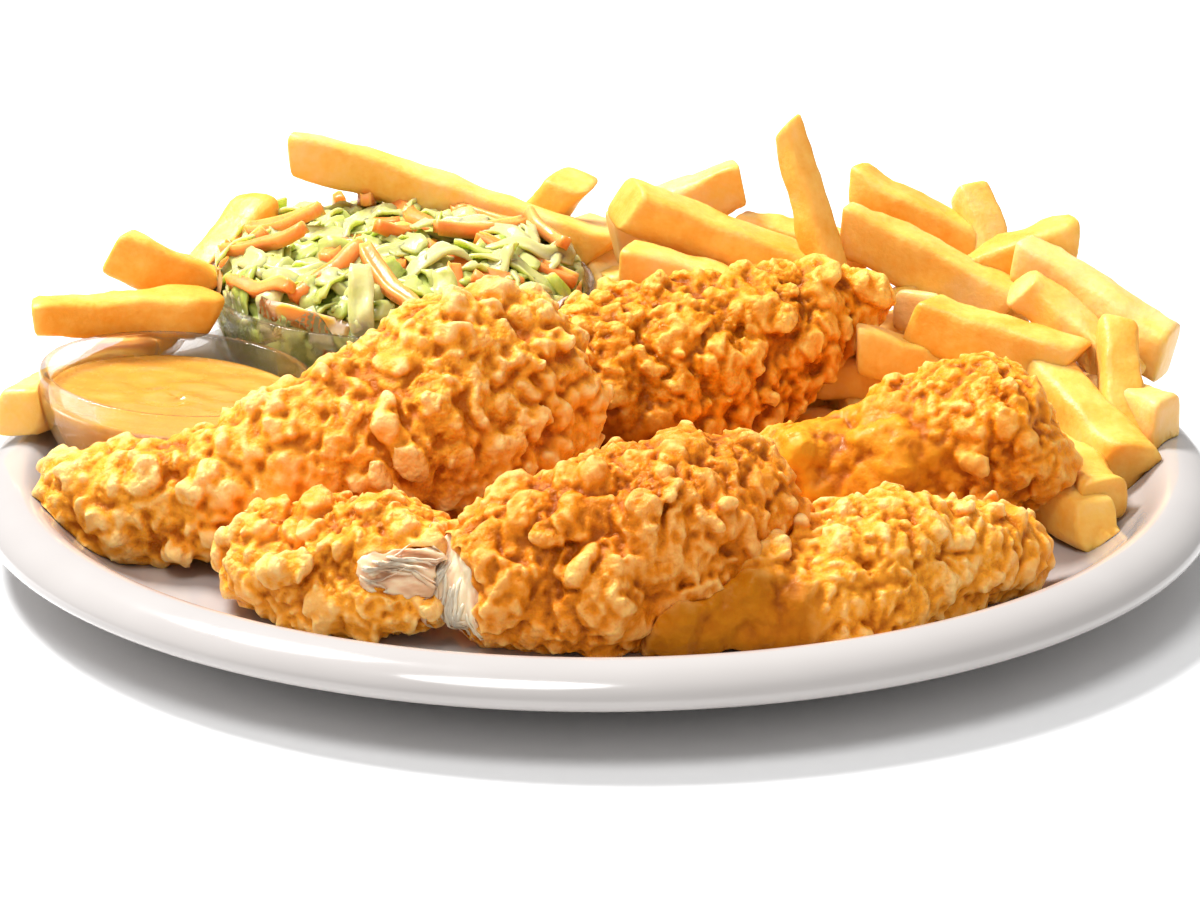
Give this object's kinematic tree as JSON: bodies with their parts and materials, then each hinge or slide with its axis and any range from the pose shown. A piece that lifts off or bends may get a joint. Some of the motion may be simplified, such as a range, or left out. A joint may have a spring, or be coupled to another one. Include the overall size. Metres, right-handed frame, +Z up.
{
  "type": "chicken tenders platter",
  "caption": "Round white dinner plate of fried chicken tenders, one torn open, with thick-cut fries, a glass bowl of coleslaw and a glass cup of yellow dip.",
  "frame": {"origin": "on the surface under the plate, at the middle of the plate's foot ring", "axes": "+Z up, +X to the diner's right, -Y towards the diner and the pictured side"},
  "size_m": [0.28, 0.28, 0.0807],
  "materials": {
    "plate_glaze": "glossy white glaze",
    "bowl_glass": "clear polished glass",
    "dip_sauce": "wet, glossy",
    "coleslaw": "moist, slightly translucent",
    "fried_crust": "craggy, faint oily sheen",
    "chicken_meat": "moist fibres",
    "fried_potato": "satin, faint oily sheen"
  },
  "bodies": {
    "root": {"plate": "plate_glaze", "dip_cup": "bowl_glass", "slaw_bowl": "bowl_glass", "dip": "dip_sauce", "slaw": "coleslaw", "torn_tender_right": "fried_crust", "torn_tender_left": "fried_crust", "tender_front": "fried_crust", "tender_long": "fried_crust", "tender_right": "fried_crust", "tender_back": "fried_crust", "fries_right": "fried_potato", "fries_left": "fried_potato", "fries_middle": "fried_potato"}
  },
  "joints": []
}
